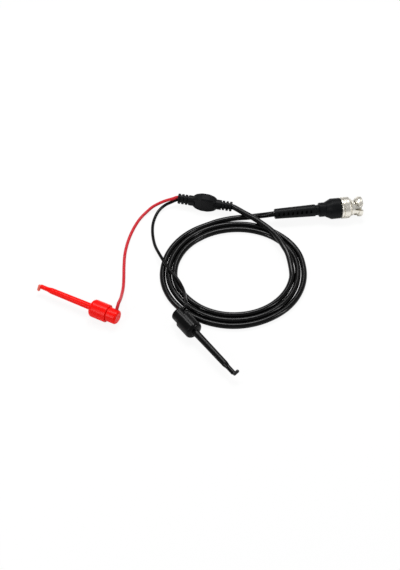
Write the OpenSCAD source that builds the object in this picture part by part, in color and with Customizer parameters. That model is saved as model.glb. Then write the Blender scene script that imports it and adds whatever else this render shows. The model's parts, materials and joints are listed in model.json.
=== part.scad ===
// BNC test lead: a bayonet plug with a moulded strain relief, a coaxial cable wound in a flat coil,
// a splitter moulding, and two thin leads that end in spring-loaded hook clips, one red and one black.
// The lead lies on a table at z = 0. The plug points along +X.

/* [Coupling nut] */
// Diameter over the nut's smooth grip
grip_d = 15; // [14:0.1:16.5]
// Length of the grip, from its groove to its taper
grip_len = 4.6; // [3.5:0.1:7]
// Length of the narrow ring behind the grip's groove
rear_ring_len = 1.2; // [0.8:0.1:2]
// Width of the groove in the grip
grip_groove_w = 0.5; // [0.3:0.1:0.9]
// Depth of the groove in the grip
grip_groove_depth = 0.5; // [0.2:0.1:0.8]
// Diameter of the waist that carries the cam slots
waist_d = 11.9; // [11.8:0.1:13]
// Length of the waist
waist_len = 4.7; // [4.4:0.1:7]
// Length of the taper between grip and waist
nut_taper_len = 1; // [0.5:0.1:2]
// Diameter of the rim at the nut's mouth
rim_d = 14; // [13:0.1:14.5]
// Length of the rim
rim_len = 2.9; // [2:0.1:4]
// Rounding of the nut's outer edges
nut_round = 0.5; // [0.2:0.1:0.8]
// Bore at the nut's mouth, which takes the socket's barrel
nut_bore_d = 9.85; // [9.75:0.05:10.3]
// Thickness of the nut's rear wall
nut_wall_len = 1.75; // [1.2:0.05:2.5]
// Width of each cam slot, which takes a lug of the socket
cam_slot_w = 2.5; // [2.2:0.1:2.8]
// Turn of the cam slot, from its entry to its detent hole
cam_turn = 132; // [100:1:135]
// Diameter of the detent hole at the end of each cam slot
detent_d = 2.6; // [2.4:0.1:3]
// Angle of the first slot's entry about the plug's axis
cam_entry_angle = 240; // [0:1:359]

/* [Plug body] */
// Diameter of the journal that the nut turns on
journal_d = 9.2; // [9:0.05:9.6]
// Length of the journal in front of the boot
journal_len = 5; // [4.8:0.1:6]
// Diameter of the flange moulded into the boot's mouth
flange_d = 10.6; // [10:0.1:11.5]
// Length of the flange
flange_len = 1.5; // [1:0.1:2.5]
// Diameter of the shank inside the boot
shank_d = 9.6; // [9.3:0.1:9.9]
// Length of the shank
shank_len = 6.6; // [5:0.1:8]
// Diameter of the ferrule crimped on the cable
ferrule_d = 6.2; // [5.6:0.1:7]
// Length of the ferrule
ferrule_len = 5.5; // [4:0.1:8]

/* [Contacts and insulator] */
// Outer diameter of the slotted contact sleeve
sleeve_d = 8.1; // [8:0.05:8.2]
// Wall of the contact sleeve
sleeve_wall = 0.6; // [0.4:0.05:0.7]
// Length of the sleeve in front of its shoulder
sleeve_len = 8; // [7:0.1:9]
// Diameter of the sleeve's shoulder, which carries the gasket
shoulder_d = 8.6; // [8.4:0.05:8.8]
// Length of the sleeve's shoulder
shoulder_len = 1.6; // [1.2:0.1:2.2]
// Wall of the body between the sleeve's root and the retaining ring's groove
body_wall = 0.4; // [0.3:0.05:0.6]
// Length of the sleeve's root
root_len = 4; // [2.5:0.1:4.5]
// Number of slots in the sleeve
sleeve_slots = 4; // [2:1:6]
// Width of each slot in the sleeve
sleeve_slot_w = 0.6; // [0.3:0.1:1]
// Length of each slot in the sleeve
sleeve_slot_len = 6; // [4:0.1:7]
// Diameter of the centre pin's tip
pin_tip_d = 1.35; // [1.3:0.01:1.4]
// Length of the pin's straight tip in front of the insulator
pin_tip_len = 3.4; // [2.5:0.1:4]
// Diameter of the centre pin inside the insulator
pin_root_d = 2.1; // [1.8:0.1:2.4]
// Diameter of the insulator's nose
insulator_nose_d = 4.7; // [4.5:0.1:4.8]
// Length of the insulator's nose
insulator_nose_len = 3.8; // [2.5:0.1:4.5]
// Length of the insulator's wide part
insulator_base_len = 4.8; // [3:0.1:5.5]
// Diameter of the insulator's tail in the body
insulator_tail_d = 3; // [2.8:0.1:3.6]

/* [Washers and gasket] */
// Thickness of the thrust washer
thrust_washer_t = 0.5; // [0.3:0.1:0.8]
// Thickness of the wave washer's sheet
wave_washer_t = 0.3; // [0.2:0.05:0.4]
// Height of the wave washer when free
wave_washer_h = 1.2; // [1:0.05:1.4]
// Number of waves round the washer
waves = 3; // [3:1:5]
// Thickness of the retaining ring
retaining_ring_t = 0.6; // [0.4:0.05:0.8]
// Width of both washers beyond the journal
washer_band = 1; // [0.8:0.05:1.05]
// Depth of the retaining ring's groove in the body
ring_groove_depth = 0.4; // [0.2:0.05:0.6]
// Outer diameter of the gasket
gasket_d = 9.55; // [9.3:0.05:9.65]

/* [Boot and strain relief] */
// Diameter of the boot
boot_d = 14.4; // [13:0.1:16]
// Length of the boot's cylinder
boot_len = 6.9; // [6:0.1:11]
// Length of the cone behind the boot
boot_cone_len = 3.5; // [2:0.1:5]
// Diameter of the collar
collar_d = 10; // [9:0.1:11]
// Length of the collar
collar_len = 4.7; // [3:0.1:7]
// Diameter of the neck between collar and relief
neck_d = 7.3; // [6.6:0.1:8]
// Length of the neck
neck_len = 2.5; // [1.5:0.1:4]
// Diameter of the relief beside the neck
relief_d = 8.4; // [8:0.1:9.2]
// Diameter of the relief at the cable's end
relief_end_d = 7.1; // [6.2:0.1:7.9]
// Length of the relief
relief_len = 28.8; // [24:0.1:34]
// Pitch of the relief's windows
window_pitch = 3.2; // [2.8:0.1:3.6]
// Length of each window along the cable
window_len = 1.3; // [1:0.1:1.8]
// Width of each window round the cable
window_w = 2.2; // [1.8:0.1:3.6]
// Number of windows in a row
windows = 8; // [5:1:9]

/* [Cables] */
// Diameter of the coaxial cable
cable_d = 3.8; // [3:0.1:4]
// Diameter of each thin lead
lead_d = 2.1; // [1.6:0.1:2.4]
// Radial clearance round a cable where it enters a moulding
cable_clear = 0.05; // [0.02:0.01:0.1]
// Inner radius of the coil
coil_inner_r = 35.6; // [34:0.1:36]
// Outer radius of the coil
coil_outer_r = 49; // [48.6:0.1:50.6]

/* [Lay on the table] */
// Distance from the coil's right edge to the boot's front face
plug_beyond_coil = 32.1; // [30:0.1:60]
// Distance of the plug's axis inside the coil's far edge
plug_inside_coil = 5.6; // [0:0.1:8]
// Distance from the coil to the splitter's left end
splitter_from_coil = 25.6; // [22:0.1:40]
// Distance from the coil to the rear of the red clip's barrel
red_clip_from_coil = 41.2; // [20:0.1:60]
// Distance from the coil to the side of the black clip's barrel
black_clip_from_coil = 0.5; // [0.5:0.1:10]

/* [Splitter] */
// Length of the splitter's body
splitter_body_len = 16.4; // [14:0.1:20]
// Width of the body across its middle
splitter_w = 7.2; // [7:0.1:9]
// Height of the body at its middle
splitter_h = 11.9; // [10.4:0.1:12.4]
// Size of the body at its ends, as a share of its size in the middle
splitter_end_share = 0.6; // [0.5:0.05:0.8]
// Width of the bevel on the body's long edges
splitter_bevel = 0.8; // [0.6:0.1:1.6]
// Length of the ribbed relief round the two leads
lead_relief_len = 11; // [9:0.1:14]
// Length of the ribbed relief round the cable
cable_relief_len = 11.1; // [8:0.1:13]
// Width of the ribs
rib_w = 6.4; // [6:0.1:7]
// Height of the ribs round the leads
rib_h = 7.6; // [7:0.1:8.4]
// Thickness of each rib
rib_t = 1.4; // [0.8:0.1:1.8]
// Pitch of the ribs
rib_pitch = 2.6; // [2.2:0.1:3.2]
// Width of the relief between ribs
rib_core_w = 4.6; // [4.2:0.1:5.4]
// Height of the relief between ribs round the leads
rib_core_h = 5.8; // [5.6:0.1:6.6]
// Distance between the two leads in the splitter
lead_spread = 2.6; // [2.5:0.1:3]

/* [Hook clips] */
// Diameter of the clip's sliding barrel
barrel_d = 11.7; // [11:0.1:13]
// Length of the barrel's cylinder
barrel_len = 10; // [9:0.1:14]
// Length of the barrel's rounded shoulder
shoulder_round_len = 2.5; // [2:0.1:4]
// Diameter of the nose at the barrel
nose_d = 4.5; // [4:0.1:5.2]
// Diameter of the nose where its taper starts
nose_tip_d = 4; // [3.8:0.1:4.6]
// Length of the nose
nose_len = 30; // [22:0.1:36]
// Length of the taper at the nose's end
nose_taper_len = 2.8; // [1.5:0.1:4]
// Diameter of the thin tongue round the hook wire
tongue_d = 3; // [2.9:0.1:3.4]
// Length of the tongue
tongue_len = 5.2; // [3:0.1:8]
// Diameter of the cap that the barrel slides on
cap_d = 9.4; // [9:0.1:9.8]
// Length of the cap that shows behind the barrel
cap_len = 7.3; // [6.8:0.1:9]
// Length of the cap inside the barrel
cap_inside_len = 4; // [3:0.1:5]
// Rounding of the cap's rear edge
cap_round = 1.6; // [0.4:0.1:2]
// Depth of the barrel's bore
barrel_bore_len = 10.2; // [9:0.1:12]
// Diameter of the hook wire
wire_d = 2.1; // [1.6:0.05:2.2]
// Length of the hook's leg from the wire's axis to its end
leg_len = 3.5; // [3:0.1:5]
// Diameter of the spring pocket in the cap
pocket_d = 7.6; // [7:0.1:8]
// Depth of the spring pocket behind the barrel's rear edge
pocket_depth = 0.5; // [0.3:0.1:1.5]
// Outer diameter of the spring
spring_d = 6.6; // [5:0.1:6.8]
// Diameter of the spring's wire
spring_wire_d = 0.6; // [0.4:0.05:0.7]
// Number of turns in the spring
spring_turns = 6; // [4:1:8]
// Diameter of the terminal that joins lead and hook
terminal_d = 3.2; // [2.9:0.1:3.6]
// Length of the terminal
terminal_len = 5.5; // [4.5:0.1:6]
// Distance of the lead's hole behind the barrel's rear edge
lead_hole_back = 4.8; // [4.6:0.1:5.4]

/* [Fits] */
// Radial clearance of a part that turns or slides in another
running_clear = 0.05; // [0.02:0.01:0.09]
// Gap between the boot and the nut's rear face
nut_gap = 0.25; // [0.2:0.05:0.5]
// Gap between faces that rest on each other
seat_gap = 0.02; // [0.01:0.01:0.05]

/* [Hidden] */
$fn = 48;
overlap = 0.01;

// Colours
black_vinyl = [0.09, 0.09, 0.10];
boot_black = [0.11, 0.12, 0.14];
nickel = [0.80, 0.78, 0.72];
gilt = [0.83, 0.67, 0.33];
ptfe = [0.93, 0.93, 0.90];
silicone = [0.62, 0.16, 0.12];
spring_steel = [0.60, 0.60, 0.60];
clip_red = [0.90, 0.12, 0.09];
clip_black = [0.07, 0.07, 0.08];
lead_red = [0.76, 0.16, 0.18];

// Diameters that follow the journal
washer_d = journal_d + 2 * washer_band;
root_d = journal_d - 2 * ring_groove_depth - 2 * body_wall;

// Stations along the plug's axis, from the boot's front face
nut_rear = nut_gap;
grip_start = nut_rear + rear_ring_len + grip_groove_w;
grip_end = grip_start + grip_len;
waist_start = grip_end + nut_taper_len;
rim_start = waist_start + waist_len;
nut_front = rim_start + rim_len;
nut_wall_front = nut_rear + nut_wall_len;
wave_start = nut_wall_front + thrust_washer_t;
ring_start = wave_start + wave_washer_h;
cavity_end = journal_len + 1;
shoulder_end = journal_len + shoulder_len;
sleeve_end = shoulder_end + sleeve_len;
sleeve_bore_d = sleeve_d - 2 * sleeve_wall;
root_start = journal_len - root_len;
insulator_front = root_start + insulator_base_len + insulator_nose_len;
shank_rear = -flange_len - shank_len;
ferrule_rear = shank_rear - ferrule_len;
cone_rear = -boot_len - boot_cone_len;
collar_rear = cone_rear - collar_len;
neck_rear = collar_rear - neck_len;
relief_rear = neck_rear - relief_len;
cable_hole_d = cable_d + 2 * cable_clear;
lead_hole_d = lead_d + 2 * cable_clear;

// Cam slots: where the centre of the slot runs along the nut
cam_straight_turn = 10;
cam_ramp_turn = 70;
cam_entry_at = waist_start + 3.3;
cam_peak_at = waist_start + cam_slot_w / 2 + 0.15;
detent_at = waist_start + 2.4;
cam_cut_in = nut_bore_d / 2 - 0.4;
cam_cut_out = grip_d / 2 + 1;
cam_mm_per_degree = (nut_bore_d + waist_d) / 4 * PI / 180;
cam_entry_half = cam_slot_w / 2 / cam_mm_per_degree;
detent_half = detent_d / 2 / cam_mm_per_degree;
cam_turns = concat(
    [for (part = [-1 : 0.5 : 1]) part * cam_entry_half],
    [for (i = [0 : 20]) cam_entry_half + 2 + (cam_turn - detent_half - cam_entry_half - 3) * i / 20],
    [for (part = [-0.9, -0.6, -0.3, 0, 0.3, 0.6, 0.85, 0.97]) cam_turn + part * detent_half]
);

// Coil of the coaxial cable
coil_at = [16.95, 7.15];

// Place of the plug: the nut and the boot lie on the table
plug_x = coil_at[0] + coil_outer_r + plug_beyond_coil;
plug_y = coil_at[1] + coil_outer_r - plug_inside_coil;
plug_z = max(grip_d, boot_d) / 2;

// Place of the splitter's left end, and the direction of its axis
splitter_at = by_coil([splitter_from_coil, 113.5, 0]);
splitter_turn = -19.4;
splitter_z = splitter_h / 2;
splitter_len = lead_relief_len + splitter_body_len + cable_relief_len;
hole_depth = 8.5;

// Each clip: centre of the barrel's rear face, direction, roll of the hook's leg below the level,
// and tilt of the lead's hole from upright towards the clip's left
red_at = by_coil([red_clip_from_coil, -161.05, 0]);
red_turn = 146.3;
red_roll = 48;
red_lead_tilt = -38;
black_at = by_coil([barrel_d / 2 + black_clip_from_coil, -133.8, 0]);
black_turn = -60.2;
black_roll = -20;
black_lead_tilt = 45;
barrel_end = barrel_len + shoulder_round_len;
nose_end = barrel_end + nose_len;
tongue_start = nose_end + nose_taper_len;
tongue_end = tongue_start + tongue_len;
leg_at = tongue_end + wire_d / 2 + seat_gap;
terminal_rear = -pocket_depth - terminal_len;
lead_end_radii = [cap_d / 2 + 2.5, cap_d / 2 + 0.3, terminal_d / 2 + 0.2];

// A point on the splitter's axis, raised by up, at a distance from its left end
function splitter_point(along, up) = [
    splitter_at[0] + along * cos(splitter_turn), splitter_at[1] + along * sin(splitter_turn),
    splitter_z + up
];

// A point on the axis of a clip's lead hole, at a radius from the cap's axis
function lead_hole_point(at, turn, tilt, radius) = [
    at[0] - lead_hole_back * cos(turn) - radius * sin(tilt) * sin(turn),
    at[1] - lead_hole_back * sin(turn) + radius * sin(tilt) * cos(turn),
    barrel_d / 2 + radius * cos(tilt)
];

// A point beside the coil: distance outside its outer edge, bearing from its centre, height
function by_coil(p) = [
    coil_at[0] + (coil_outer_r + p[0]) * cos(p[1]), coil_at[1] + (coil_outer_r + p[0]) * sin(p[1]), p[2]
];

// Route of the coaxial cable from the plug to the coil
plug_cable_route = concat(
    [
        [plug_x + shank_rear, plug_y, plug_z],
        [plug_x + relief_rear + relief_len / 2, plug_y, plug_z],
        [plug_x + relief_rear - 0.5, plug_y, plug_z]
    ],
    [for (p = [
        [4.3, 56.9, 5.9], [3.3, 62.7, 3.8], [2, 69.4, 2.2], [0.4, 77.1, 1.9],
        [-1.2, 86.4, 1.9], [-2.3, 96.1, 1.9]
    ]) by_coil(p)]
);

// Route of the coaxial cable from the coil to the splitter
splitter_cable_route = concat(
    [for (p = [
        [-10.7, 11.9, 4.8], [-9.9, 21.8, 5.5], [-8.5, 33, 5.7], [-6.7, 43.9, 5.7],
        [-4.4, 54.3, 5.8], [-1.2, 65.4, 6.1], [2.1, 74.2, 6], [4.6, 78.8, 5.95]
    ]) by_coil(p)],
    [for (along = [splitter_len + 0.5, splitter_len - hole_depth]) splitter_point(along, 0)]
);

// Route of the red lead from the splitter to its clip
red_lead_route = concat(
    [for (along = [hole_depth, -0.5]) splitter_point(along, lead_spread / 2)],
    [for (p = [
        [27.1, 116.3, 7], [29.9, 121, 5.6], [31.9, 126.4, 3.6], [32.5, 130.6, 2],
        [32.3, 135.3, 1.2], [31, 140.8, 1.1], [29.3, 147.3, 1.1], [27.8, 153.7, 1.1],
        [26.3, 161, 1.1], [24.9, 169, 1.1], [24.5, 177.2, 1.3], [25.5, -175.8, 2.6],
        [27.7, -169.9, 5.4], [29.9, -165.7, 8.6], [32.1, -162.7, 11.2], [33.4, -161.4, 12.1]
    ]) by_coil(p)],
    [for (radius = lead_end_radii) lead_hole_point(red_at, red_turn, red_lead_tilt, radius)]
);

// Route of the black lead from the splitter over the coil to its clip
black_lead_route = concat(
    [for (along = [hole_depth, -0.5]) splitter_point(along, -lead_spread / 2)],
    [for (p = [
        [27.3, 117.2, 4.4], [28.4, 121.1, 3.3], [27.5, 125.4, 1.8], [25, 130.1, 1.2],
        [21.4, 135.1, 1.1], [17, 140.3, 1.1], [12.6, 145.5, 1.5], [8, 151.5, 3],
        [2.2, 159.6, 4.8], [-3.9, 170.2, 5], [-7.6, 179.1, 5], [-10.1, -171.7, 5],
        [-10.4, -161.9, 5.1], [-8.7, -152.5, 6.1], [-5.5, -145.1, 8.8], [-3.2, -141, 10.7],
        [-1.3, -138.7, 11.2]
    ]) by_coil(p)],
    [for (radius = lead_end_radii) lead_hole_point(black_at, black_turn, black_lead_tilt, radius)]
);

function unit(v) = v / norm(v);

// Direction of a route at its point i
function heading(points, i) = unit(points[min(i + 1, len(points) - 1)] - points[max(i - 1, 0)]);

// Corners of the ring of a tube at point i
function ring_corners(points, i, radius, sides) =
    let (along = heading(points, i), side = unit(cross(along, [0, 0, 1])), up = cross(side, along))
    [for (k = [0 : sides - 1])
        let (turn = 360 * (k + 0.5) / sides)
        points[i] + radius * (cos(turn) * side + sin(turn) * up)];

// The two triangles of a wall panel between ring i and the next, at corner k
function wall_panel(i, k, sides) =
    let (a = i * sides + k, b = i * sides + (k + 1) % sides)
    [[a, b, b + sides], [a, b + sides, a + sides]];

// Points of a quarter round from angle a to angle b
function arc(centre, radius, a, b, steps) =
    [for (i = [0 : steps]) let (t = a + (b - a) * i / steps) centre + radius * [cos(t), sin(t)]];

// How far the splitter's body has shrunk from its middle to its ends: place as a share of half its
// length, and share of the whole shrinkage
block_shrink = [[0.25, 0], [0.44, 0.11], [0.61, 0.26], [0.79, 0.45], [0.97, 0.85], [1, 1]];

// The eight corners of the body's section at a place along it
function block_corners(along, share) =
    let (w = splitter_w / 2, h = splitter_h / 2, e = splitter_bevel)
    [for (c = [[-w, e - h], [-w, h - e], [e - w, h], [w - e, h], [w, h - e], [w, e - h], [w - e, -h], [e - w, -h]])
        [along, c[0] * share, c[1] * share]];

// Centre of the cam slot along the nut, at a turn from its entry
function cam_at(turn) =
    turn < cam_ramp_turn
        ? cam_peak_at + (cam_entry_at - cam_peak_at) * (1 + cos(180 * max(turn - cam_straight_turn, 0)
            / (cam_ramp_turn - cam_straight_turn))) / 2
        : cam_peak_at + (detent_at - cam_peak_at)
            * pow(sin(90 * min((turn - cam_ramp_turn) / (cam_turn - cam_ramp_turn), 1)), 4);

// Half the width of the cam slot at a turn from its entry: it widens at the round detent hole
function cam_half(turn) =
    let (r = detent_d / 2, x = (turn - cam_turn) * cam_mm_per_degree,
        hole = abs(x) < r ? sqrt(r * r - x * x) : 0)
    turn < cam_turn ? max(cam_slot_w / 2, hole) : hole;

// The two edges of the cam slot at a turn from its entry, which is open to the mouth
function cam_low(turn) = cam_at(turn) - cam_half(turn) * (turn < 0 ? sqrt(1 - pow(turn / cam_entry_half, 2) / 2) : 1);
function cam_high(turn) = turn > cam_entry_half ? cam_at(turn) + cam_half(turn) : nut_front + 1;

// A closed band of four-cornered sections, listed in turn round its axis
module closed_band(sections) {
    count = len(sections);
    corners = [for (s = sections) each s];
    walls = [for (i = [0 : count - 1], k = [0 : 3])
        let (a = i * 4 + k, b = i * 4 + (k + 1) % 4, j = 4 * ((i + 1) % count) - 4 * i)
        each [[a, b, b + j], [a, b + j, a + j]]];
    polyhedron(corners, walls);
}

// An open band of flat sections, all with the same number of corners, with flat ends
module open_band(sections) {
    count = len(sections);
    sides = len(sections[0]);
    corners = [for (s = sections) each s];
    walls = [for (i = [0 : count - 2], k = [0 : sides - 1]) each wall_panel(i, k, sides)];
    near_end = [for (k = [0 : sides - 1]) sides - 1 - k];
    far_end = [for (k = [0 : sides - 1]) (count - 1) * sides + k];
    polyhedron(corners, concat([near_end], walls, [far_end]));
}

// A tube with flat ends along a route
module tube(points, radius, sides) {
    open_band([for (i = [0 : len(points) - 1]) ring_corners(points, i, radius, sides)]);
}

// Moves what is drawn about the Z axis to the plug's axis, with +Z along +X
module on_plug() {
    translate([plug_x, plug_y, plug_z]) rotate([0, 90, 0]) children();
}

// The same for a clip, with the barrel's rear face at its origin
module on_clip(at, turn) {
    translate([at[0], at[1], barrel_d / 2]) rotate([0, 0, turn]) rotate([0, 90, 0]) children();
}

// A cylinder that runs from one station to another
module rod(d, from, to) {
    translate([0, 0, from]) cylinder(h = to - from, d = d);
}

// A flat washer from one station to another
module washer(outer_d, inner_d, from, to) {
    difference() {
        rod(outer_d, from, to);
        rod(inner_d, from - overlap, to + overlap);
    }
}

module nut_outline() {
    r = nut_round;
    grip_r = grip_d / 2;
    rim_r = rim_d / 2;
    polygon(concat(
        [[journal_d / 2 + running_clear, nut_rear]],
        arc([grip_r - r, nut_rear + r], r, -90, 0, 4),
        [
            [grip_r, grip_start - grip_groove_w],
            [grip_r - grip_groove_depth, grip_start - grip_groove_w],
            [grip_r - grip_groove_depth, grip_start]
        ],
        arc([grip_r - r, grip_start + r], r, -30, 0, 2),
        arc([grip_r - 2 * r, grip_end - 2 * r], 2 * r, 0, 60, 4),
        [[waist_d / 2, waist_start], [waist_d / 2, rim_start]],
        arc([rim_r - r, rim_start + r], r, -60, 0, 3),
        arc([rim_r - r, nut_front - r], r, 0, 90, 4),
        [
            [nut_bore_d / 2 + 0.4, nut_front],
            [nut_bore_d / 2, nut_front - 0.4],
            [nut_bore_d / 2, cavity_end],
            [washer_d / 2 + 0.3, cavity_end],
            [washer_d / 2 + 0.3, nut_wall_front],
            [journal_d / 2 + running_clear, nut_wall_front]
        ]
    ));
}

// One cam slot: the entry at the mouth, the ramp, the run round the waist, and the detent hole
module cam_slot() {
    open_band([for (t = cam_turns)
        let (f = [cos(-t), sin(-t)], low = cam_low(t), high = cam_high(t)) [
            [f[0] * cam_cut_in, f[1] * cam_cut_in, low],
            [f[0] * cam_cut_in, f[1] * cam_cut_in, high],
            [f[0] * cam_cut_out, f[1] * cam_cut_out, high],
            [f[0] * cam_cut_out, f[1] * cam_cut_out, low]
        ]]);
}

module coupling_nut() {
    color(nickel)
        on_plug() difference() {
            rotate_extrude() nut_outline();
            for (turn = [0, 180]) rotate([0, 0, cam_entry_angle + turn]) cam_slot();
        }
}

module plug_body() {
    groove_d = journal_d - 2 * ring_groove_depth;
    color(nickel)
        on_plug() difference() {
            union() {
                rod(ferrule_d, ferrule_rear, shank_rear + overlap);
                rod(shank_d, shank_rear, -flange_len + overlap);
                rod(flange_d, -flange_len, 0);
                rod(journal_d, -overlap, ring_start);
                rod(groove_d, ring_start - overlap, ring_start + retaining_ring_t + overlap);
                rod(journal_d, ring_start + retaining_ring_t, journal_len);
            }
            rod(root_d, root_start, journal_len + overlap);
            rod(insulator_tail_d, shank_rear, root_start + overlap);
            rod(cable_hole_d, ferrule_rear - overlap, shank_rear + overlap);
        }
}

module outer_contact() {
    mouth = 0.3;
    color(nickel)
        on_plug() difference() {
            union() {
                rod(root_d, root_start, journal_len + overlap);
                rod(shoulder_d, journal_len, shoulder_end);
                rod(sleeve_d, shoulder_end - overlap, sleeve_end);
            }
            rod(sleeve_bore_d, root_start - overlap, sleeve_end + overlap);
            translate([0, 0, sleeve_end - mouth])
                cylinder(h = mouth + overlap, d1 = sleeve_bore_d, d2 = sleeve_bore_d + 2 * mouth);
            for (i = [0 : sleeve_slots - 1])
                rotate([0, 0, 20 + 360 * i / sleeve_slots])
                    translate([0, -sleeve_slot_w / 2, sleeve_end - sleeve_slot_len])
                        cube([sleeve_d, sleeve_slot_w, sleeve_slot_len + overlap]);
        }
}

module insulator() {
    color(ptfe)
        on_plug() difference() {
            union() {
                rod(insulator_tail_d, shank_rear + seat_gap, root_start + overlap);
                rod(sleeve_bore_d, root_start, root_start + insulator_base_len);
                rod(insulator_nose_d, root_start + insulator_base_len - overlap, insulator_front);
            }
            rod(pin_root_d, shank_rear, insulator_front + overlap);
        }
}

module centre_pin() {
    tip_r = pin_tip_d / 2;
    color(gilt)
        on_plug() union() {
            rod(pin_root_d, shank_rear + seat_gap, insulator_front);
            rod(pin_tip_d, insulator_front - overlap, insulator_front + pin_tip_len);
            translate([0, 0, insulator_front + pin_tip_len]) sphere(r = tip_r);
        }
}

module thrust_washer() {
    color(spring_steel)
        on_plug() washer(
            washer_d, journal_d + 2 * running_clear,
            nut_wall_front + seat_gap, wave_start - seat_gap);
}

module wave_washer() {
    inner = journal_d / 2 + 0.15;
    outer = washer_d / 2 - 0.15;
    middle = wave_start + wave_washer_h / 2;
    swing = (wave_washer_h - wave_washer_t) / 2 - seat_gap;
    half = wave_washer_t / 2;
    color(spring_steel)
        on_plug() closed_band([for (t = [0 : 6 : 354])
            let (h = middle + swing * cos(waves * t), f = [cos(t), sin(t)]) [
                [f[0] * inner, f[1] * inner, h - half],
                [f[0] * inner, f[1] * inner, h + half],
                [f[0] * outer, f[1] * outer, h + half],
                [f[0] * outer, f[1] * outer, h - half]
            ]]);
}

// A split ring that sits in the body's groove
module retaining_ring() {
    bore = journal_d - 2 * ring_groove_depth + 2 * seat_gap;
    gap_w = 1.6;
    color(spring_steel)
        on_plug() difference() {
            washer(washer_d, bore, ring_start + seat_gap, ring_start + retaining_ring_t - seat_gap);
            translate([0, -gap_w / 2, ring_start])
                cube([washer_d, gap_w, retaining_ring_t]);
        }
}

module gasket() {
    color(silicone)
        on_plug() washer(
            gasket_d, shoulder_d + 2 * seat_gap, journal_len + seat_gap, shoulder_end - seat_gap);
}

module boot_outline() {
    edge = 0.6;
    boot_r = boot_d / 2;
    relief_r = relief_d / 2;
    end_r = relief_end_d / 2;
    polygon(concat(
        [[0, 0]],
        arc([boot_r - edge, -edge], edge, 90, 0, 4),
        [[boot_r, -boot_len + 0.4], [boot_r - 0.2, -boot_len - 0.1]],
        [[collar_d / 2 + 0.3, cone_rear]],
        [[collar_d / 2, cone_rear - 0.2]],
        arc([collar_d / 2 - edge, collar_rear + edge], edge, 0, -90, 3),
        [[neck_d / 2 + 0.3, collar_rear], [neck_d / 2, collar_rear - 0.3]],
        [[neck_d / 2, neck_rear + 0.3]],
        arc([relief_r - 0.4, neck_rear - 0.4], 0.4, 60, 0, 2),
        arc([end_r - edge, relief_rear + edge], edge, 0, -90, 3),
        [[0, relief_rear]]
    ));
}

// A row of windows down one side of the relief
module window_row(first) {
    for (i = [0 : windows - 1])
        if (first - i * window_pitch - window_len > relief_rear + 1.5)
            translate([cable_hole_d / 2 - 0.1, -window_w / 2, first - i * window_pitch - window_len])
                cube([relief_d, window_w, window_len]);
}

module plug_boot() {
    first = neck_rear - 1.4;
    color(boot_black)
        on_plug() difference() {
            rotate_extrude() boot_outline();
            rod(flange_d, -flange_len, overlap);
            rod(shank_d, shank_rear, -flange_len + overlap);
            rod(ferrule_d, ferrule_rear, shank_rear + overlap);
            rod(cable_hole_d, relief_rear - overlap, ferrule_rear + overlap);
            for (turn = [56, 236]) rotate([0, 0, turn]) window_row(first - window_pitch / 2);
            for (turn = [146, 326]) rotate([0, 0, turn]) window_row(first);
        }
}

module plug_cable() {
    color(black_vinyl) tube(plug_cable_route, cable_d / 2, 8);
}

module cable_coil() {
    color(black_vinyl)
        translate([coil_at[0], coil_at[1], 0])
            rotate_extrude($fn = 96)
                translate([coil_inner_r, 0]) square([coil_outer_r - coil_inner_r, cable_d]);
}

module splitter_cable() {
    color(black_vinyl) tube(splitter_cable_route, cable_d / 2, 8);
}

module red_lead() {
    color(lead_red) tube(red_lead_route, lead_d / 2, 8);
}

module black_lead() {
    color(black_vinyl) tube(black_lead_route, lead_d / 2, 8);
}

// The splitter's body: an eight-sided block that bulges in the middle
module splitter_block(start, finish) {
    middle = (start + finish) / 2;
    half = (finish - start) / 2;
    steps = len(block_shrink);
    open_band(concat(
        [for (i = [steps - 1 : -1 : 0])
            block_corners(middle - half * block_shrink[i][0], 1 - (1 - splitter_end_share) * block_shrink[i][1])],
        [for (i = [0 : steps - 1])
            block_corners(middle + half * block_shrink[i][0], 1 - (1 - splitter_end_share) * block_shrink[i][1])]
    ));
}

// A rib or a core of the reliefs: two half rounds joined by flat sides
module oval(at, length, w, h) {
    straight = h - w;
    translate([at, 0, 0]) rotate([0, 90, 0]) {
        for (side = [-1, 1]) translate([side * straight / 2, 0, 0]) cylinder(h = length, d = w);
        translate([-straight / 2, -w / 2, 0]) cube([straight, w, length]);
    }
}

// A round rib or core of the relief at the cable's end
module disc(at, length, d) {
    translate([at, 0, 0]) rotate([0, 90, 0]) cylinder(h = length, d = d);
}

module splitter_body() {
    body_start = lead_relief_len;
    body_end = body_start + splitter_body_len;
    total = splitter_len;
    neck_end = total - 2 * rib_pitch - rib_t - 0.9;
    color(black_vinyl)
        translate([splitter_at[0], splitter_at[1], splitter_z]) rotate([0, 0, splitter_turn])
            difference() {
                union() {
                    splitter_block(body_start, body_end);
                    oval(0, body_start + 1, rib_core_w, rib_core_h);
                    for (i = [0 : 2]) oval(i * rib_pitch, rib_t, rib_w, rib_h);
                    oval(body_start - 3.4, 4.4, rib_w, rib_h);
                    disc(body_end - 1, total - body_end + 1, rib_core_w);
                    disc(body_end - 1, neck_end - body_end + 1, rib_w + 0.6);
                    for (i = [0 : 2]) disc(total - rib_t - i * rib_pitch, rib_t, rib_w + 0.4);
                }
                for (side = [-1, 1])
                    translate([-overlap, 0, side * lead_spread / 2])
                        rotate([0, 90, 0]) cylinder(h = hole_depth + overlap, d = lead_hole_d);
                translate([total - hole_depth, 0, 0])
                    rotate([0, 90, 0]) cylinder(h = hole_depth + overlap, d = cable_hole_d);
            }
}

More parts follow.
